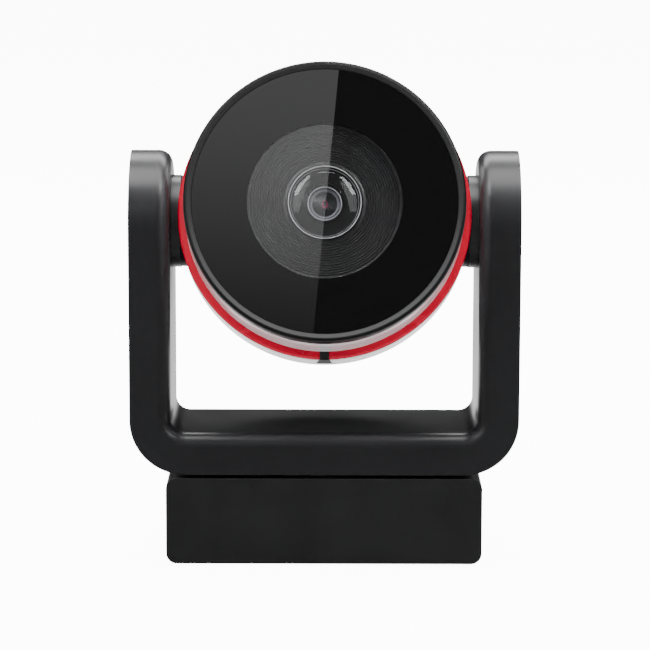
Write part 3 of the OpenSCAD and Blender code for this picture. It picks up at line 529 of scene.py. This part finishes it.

# %% [markdown]
# ## Bezel, baffle and barrel
# These are turned parts, so their looks change with the distance from the lens axis. The bezel is
# anodised almost black, with a painted highlight, a lighter grey, on its bevelled face and painted
# shade, a deeper black, on its outer rounding. The baffle behind the glass is matt grey-black with
# stepped grooves that swallow stray light. The lens barrel is the same black, with painted
# highlights, bright grey rings, on its two lips and the tip of its inner cell.

# %% Bezel, baffle and barrel
bezel = Finish("anodised_bezel", (0.010, 0.010, 0.011), 0.36)
bezel.set("Specular IOR Level", 0.17)
turning = bezel.places((8, 8, 3000), along_head=True)
bezel.drift(0.31, 0.41, 1.0, 3.0, turning).round_edges(0.1 * MM).grain(1.0, 4e-7, 2.0, turning)
# The stops paint a highlight, a lighter grey, on the bevelled face and shade, a deeper black, on the outer
# rounding.
keep(rings(bezel, 51, [(0, 0.012), (47.9, 0.012), (48.2, 0.022), (49.4, 0.022),
                       (49.7, 0.004)]), "bezel_black")

baffle = Finish("baffle_grey", (0.022, 0.022, 0.024), 0.42)
baffle.set("Specular IOR Level", 0.6)
baffle.drift(0.28, 0.34, 1.0, 2.0, baffle.places((8, 8, 3000), along_head=True))
baffle.grain(0.2 * MM, 3e-7)
keep(rings(baffle, 32, [(0, 0.002), (14.2, 0.002), (14.5, 0.009), (31, 0.010)]), "baffle_grey")

barrel = Finish("barrel_black", (0.010, 0.010, 0.011), 0.36)
barrel.set("Specular IOR Level", 0.04)
barrel.drift(0.3, 0.42, scale=150).round_edges(0.08 * MM).grain(0.2 * MM, 1e-6)
# The bright stops are painted highlights on the tip of the inner cell and on the two lips.
keep(rings(barrel, 16, [(0, 0.002), (5.6, 0.002), (5.7, 0.4), (5.95, 0.4), (6.05, 0.002),
                        (12.1, 0.002), (12.2, 0.25), (12.35, 0.25), (12.45, 0.006),
                        (12.85, 0.006), (12.95, 0.5), (13.2, 0.5), (13.25, 0.01)]), "barrel_black")
print("bezel, baffle and barrel made")

# %% [markdown]
# ## Glass
# The flat front glass and the lens elements are real glass, with an index of refraction near 1.5. A
# renderer finds lamps through glass only by luck, which is slow and noisy. So for shadow rays alone
# the pane counts as clear: the light goes straight in and the eye still sees glass. The front glass
# has black ink on its back, all but a round window over the lens. There the shader lets light
# through, and outside it the glass is a glossy black. The lens elements are coated against
# reflections, which a lower specular level stands for.

# %% Glass
def glass(name, tint):
    made = Finish(name, tint, 0.0)
    made.set("Transmission Weight", 1.0)
    made.set("IOR", 1.5)
    return made


def let_lamps_in(made, window=None):
    """Shadow rays pass the glass, everywhere or only inside its window."""
    share = made.node("LightPath").outputs["Is Shadow Ray"]
    if window is not None:
        both = made.node("Math", operation="MULTIPLY")
        made.link(share, both.inputs[0])
        made.link(window, both.inputs[1])
        share = both.outputs[0]
    clear = made.node("BsdfTransparent")
    choice = made.node("MixShader")
    made.link(share, choice.inputs[0])
    made.link(made.shader.outputs[0], choice.inputs[1])
    made.link(clear.outputs[0], choice.inputs[2])
    made.link(choice.outputs[0], made.tree.nodes["Material Output"].inputs["Surface"])
    return made


def inked_window(made, radius, ink_colour):
    """1 inside a round window on the lens axis and 0 outside it, where the glass is inked."""
    inside = made.node("Math", operation="LESS_THAN")
    inside.inputs[1].default_value = radius
    made.link(radius_of(made), inside.inputs[0])
    window = inside.outputs[0]
    made.link(window, made.shader.inputs["Transmission Weight"])
    made.link(made.mix(window, ink_colour, made.colour), made.shader.inputs["Base Color"])
    return window


window_radius = 27.9 * MM
pane = glass("flat_glass", (0.95, 0.96, 0.96))
let_lamps_in(pane, inked_window(pane, window_radius, (0.0015, 0.0015, 0.0017)))
keep(pane, "front_glass")
element = glass("coated_glass", (0.93, 0.93, 0.97))
element.set("Specular IOR Level", 0.18)
keep(let_lamps_in(element), "lens_glass")
print("glass made")

# %% [markdown]
# ## Inside finishes
# Gears are milky nylon, circuit boards are green solder mask over copper, and the harness wears a
# braided sleeve. They are hidden until the camera is opened, and are made with the same care.

# %% Inside finishes
nylon = Finish("gear_nylon", (0.80, 0.79, 0.74), 0.42)
nylon.set("Subsurface Weight", 0.15)
nylon.set("Subsurface Scale", 0.002)
nylon.drift(0.36, 0.5, scale=120).shade(0.95, 1.03, scale=60).round_edges(0.1 * MM)
nylon.grain(0.4 * MM, 3e-6)
keep(nylon, "gear_nylon")

board = Finish("solder_mask", (0.012, 0.10, 0.035), 0.32)
tracks = board.node("TexBrick", offset=0.35, squash=0.7)
tracks.inputs["Scale"].default_value = 260
tracks.inputs["Mortar Size"].default_value = 0.035
tracks.inputs["Color1"].default_value = (0.011, 0.085, 0.030, 1)
tracks.inputs["Color2"].default_value = (0.014, 0.11, 0.040, 1)
tracks.inputs["Mortar"].default_value = (0.03, 0.19, 0.07, 1)
board.link(board.places(), tracks.inputs["Vector"])
board.link(tracks.outputs["Color"], board.shader.inputs["Base Color"])
board.drift(0.28, 0.38, scale=150).bump_from(tracks.outputs["Fac"], 3e-5)
keep(board, "board_green")

sleeve = Finish("braided_sleeve", (0.02, 0.02, 0.022), 0.6)
braid = sleeve.node("TexWave", wave_type="BANDS", bands_direction="DIAGONAL")
braid.inputs["Scale"].default_value = 900
sleeve.link(sleeve.places(), braid.inputs["Vector"])
sleeve.drift(0.5, 0.7, scale=300).bump_from(braid.outputs["Fac"], 2e-4)
keep(sleeve, "harness_sleeve")
print("slots without a finish:", sorted(set(slot_of.values()) - set(finishes)))

# %% [markdown]
# ## Putting the finishes on
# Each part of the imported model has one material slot, and the record says which finish it stands
# for. The slot is linked to the object and not to the mesh, so the mesh stays as it was packed.

# %% Finishes on the parts
for name, part in nodes.items():
    for place in part.material_slots:
        place.link = "OBJECT"
        place.material = finishes[slot_of[name]]
print("dressed", len(nodes), "parts")

# %% [markdown]
# ## Inside the lens
# Behind the domed front element the eye looks down a dark hole, and what it finds there makes a lens
# look like a lens: a retaining ring, a second element, the iris, and a small element behind it whose
# faint magenta coating reflection is painted into its colour, with a black disc of painted shade at
# its middle. Round things are made by turning a profile about the axis. Each profile is a closed
# loop of (radius, distance in front of the tilt axis) in millimetres.

# %% Turned pieces of the lens
def turned(name, profile, finish, slot, steps=96):
    """A solid turned about the lens axis, which rides on the head."""
    mesh = bpy.data.meshes.new(name)
    work = bmesh.new()
    loops = []
    for k in range(steps):
        angle = 2 * math.pi * k / steps
        ring = [Vector((r * MM * math.cos(angle), r * MM * math.sin(angle), z * MM))
                for r, z in profile]
        loops.append([work.verts.new(head_place @ point) for point in ring])
    for k in range(steps):
        here, there = loops[k], loops[(k + 1) % steps]
        for j in range(len(profile)):
            after = (j + 1) % len(profile)
            work.faces.new((here[j], there[j], there[after], here[after]))
    bmesh.ops.remove_doubles(work, verts=work.verts, dist=1e-7)
    bmesh.ops.recalc_face_normals(work, faces=work.faces)
    work.to_mesh(mesh)
    work.free()
    mesh.materials.append(finish.material)
    mesh.set_sharp_from_angle(angle=math.radians(35))
    piece = bpy.data.objects.new(name, mesh)
    bpy.context.scene.collection.objects.link(piece)
    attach(piece, "head")
    return piece


def dome(radius, edge, apex, count=10):
    """Half a lens face, from its rim to just off the axis."""
    return [(max(0.02, radius * (1 - k / count)), edge + (apex - edge) * (1 - (1 - k / count) ** 2))
            for k in range(count + 1)]


retainer = Finish("retainer_grey", (0.14, 0.14, 0.145), 0.35)
retainer.drift(0.3, 0.42, scale=300).grain(0.15 * MM, 1e-6)
# A painted reflection: the magenta that a coating shows by reflection is this finish's own colour.
coating_reflection_paint = Finish("painted_magenta_reflection", (0.30, 0.03, 0.09), 0.2)
coating_reflection_paint.drift(0.15, 0.3, scale=400).shade(0.8, 1.2, scale=500)
turned("retaining_ring", [(4.3, 41.9), (5.3, 41.9), (5.3, 42.1), (4.9, 42.3), (4.4, 42.15)],
       retainer, "barrel_black")
turned("inner_element", dome(5.45, 42.45, 43.1) + [(0.02, 42.4), (5.45, 42.4)],
       element, "lens_glass")
turned("iris_plate", [(1.15, 40.2), (4.15, 40.0), (4.15, 40.3), (2.6, 40.35), (1.15, 40.25)],
       barrel, "barrel_black")
turned("coated_element", dome(1.9, 39.3, 39.8) + [(0.02, 39.0), (1.9, 39.0)], coating_reflection_paint, "lens_glass")
# A black disc of painted shade in the middle of the small element.
turned("painted_shade_pupil", [(0.02, 39.82), (0.02, 39.9), (0.42, 39.9), (0.42, 39.82)], ink, "mask_black")
print("lens pieces turned")

# %% [markdown]
# ## Small blocks and cans
# The sockets and the main board are real solids already, but bare. Their contacts and the parts
# soldered to the board are too small to carry load, so they are made here. Each kind is one mesh
# of many plain blocks or cans, and a bevel modifier softens them.

# %% Small blocks and cans
def small_solids(name, finish, fill, body="base", softness=0.05 * MM):
    """One piece that rides on a body; fill(work) adds its solids to a bmesh."""
    mesh = bpy.data.meshes.new(name)
    work = bmesh.new()
    fill(work)
    work.to_mesh(mesh)
    work.free()
    mesh.materials.append(finish.material)
    piece = bpy.data.objects.new(name, mesh)
    bpy.context.scene.collection.objects.link(piece)
    bevel = piece.modifiers.new("softened", "BEVEL")
    bevel.width = softness
    bevel.segments = 2
    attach(piece, body)
    return piece


def block(work, middle, size, lean=0.0):
    """A block of this size in metres, leant about the side axis by some degrees."""
    place = Matrix.Translation(middle) @ Matrix.Rotation(math.radians(lean), 4, "X")
    bmesh.ops.create_cube(work, size=1.0, matrix=place @ Matrix.Diagonal((*size, 1)))


def can(work, foot, radius, height, along="Z"):
    """A round can or pin that stands on its foot, or lies along Y."""
    turn = Matrix.Identity(4) if along == "Z" else Matrix.Rotation(math.radians(-90), 4, "X")
    place = Matrix.Translation(foot) @ turn @ Matrix.Translation((0, 0, height / 2))
    bmesh.ops.create_cone(work, cap_ends=True, segments=24, radius1=radius, radius2=radius,
                          depth=height, matrix=place)


gold = Finish("gold_contact", (0.86, 0.62, 0.25), 0.22, metallic=1.0)
gold.drift(0.16, 0.3, scale=900).grain(0.1 * MM, 5e-7)
print("solids ready")

# %% [markdown]
# ## Contacts in the sockets
# Every row of contacts is placed from the box of the socket that holds it, so it would follow the
# socket if that moved. The springs of the network socket lean, the pads of the video and USB
# sockets lie flat on a tongue, and the pins of the round socket stand in a circle.

# %% Contacts in the sockets
def lan_springs(work):
    low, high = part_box("lan_port")
    middle = (low + high) / 2
    for k in range(8):
        x = middle.x + (k - 3.5) * 1.02 * MM
        block(work, (x, high.y - 7 * MM, high.z - 3.2 * MM), (0.4 * MM, 9 * MM, 0.25 * MM), lean=-14)


def tongue_pads(node, count, pitch, size, back, above_foot):
    """Flat pads on the tongue of a socket, given by how far back and how high they sit."""
    def fill(work):
        low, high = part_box(node)
        for k in range(count):
            x = (low.x + high.x) / 2 + (k - (count - 1) / 2) * pitch
            block(work, (x, high.y - back, low.z + above_foot), size)
    return fill


def control_pins(work):
    low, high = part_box("control_port")
    middle = (low + high) / 2
    pin_circle = 3.6 * MM
    for k in range(8):
        angle = 2 * math.pi * (k + 0.5) / 8
        foot = (middle.x + pin_circle * math.cos(angle), high.y - 9 * MM,
                middle.z + pin_circle * math.sin(angle))
        can(work, foot, 0.35 * MM, 7 * MM, along="Y")


usb_pads = tongue_pads("usb_port", count=4, pitch=2.3 * MM, size=(1.1 * MM, 7 * MM, 0.16 * MM),
                       back=5.5 * MM, above_foot=2.93 * MM)
hdmi_pads = tongue_pads("hdmi_port", count=10, pitch=1.0 * MM, size=(0.5 * MM, 6 * MM, 0.16 * MM),
                        back=5 * MM, above_foot=3.83 * MM)
small_solids("lan_contacts", gold, lan_springs)
small_solids("usb_contacts", gold, usb_pads, softness=0.02 * MM)
small_solids("hdmi_contacts", gold, hdmi_pads, softness=0.02 * MM)
small_solids("control_contacts", gold, control_pins)
print("contacts made")

# %% [markdown]
# ## Components on the main board
# Four capacitor cans and a row of tiny ceramic parts stand along the front edge of the board. Each
# sinks a hair into the board, because two faces at one height flicker.

# %% Components on the main board
board_thick = 1.6 * MM
board_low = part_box("base_board")[0]
board_top = board_low.z + board_thick


def capacitors(work):
    for x in (-44, 28, 37, 46):
        can(work, (x * MM, board_low.y + 5 * MM, board_top - 0.01 * MM), 2.6 * MM, 6 * MM)


def passives(work):
    for k in range(30):
        x = (-48 + 3.3 * k) * MM
        if k % 5 != 4:
            block(work, (x, board_low.y + 1.2 * MM, board_top + 0.28 * MM),
                  (1.6 * MM, 0.8 * MM, 0.6 * MM))


sleeve_silver = Finish("capacitor_can", (0.7, 0.7, 0.72), 0.3, metallic=1.0)
sleeve_silver.drift(0.22, 0.38, scale=500).grain(0.3 * MM, 2e-6)
ceramic = Finish("ceramic_tan", (0.42, 0.30, 0.20), 0.45)
ceramic.shade(0.85, 1.15, scale=700).drift(0.4, 0.55, scale=700).grain(0.1 * MM, 2e-6)
small_solids("board_capacitors", sleeve_silver, capacitors, softness=0.3 * MM)
small_solids("board_passives", ceramic, passives)
print("board components made")
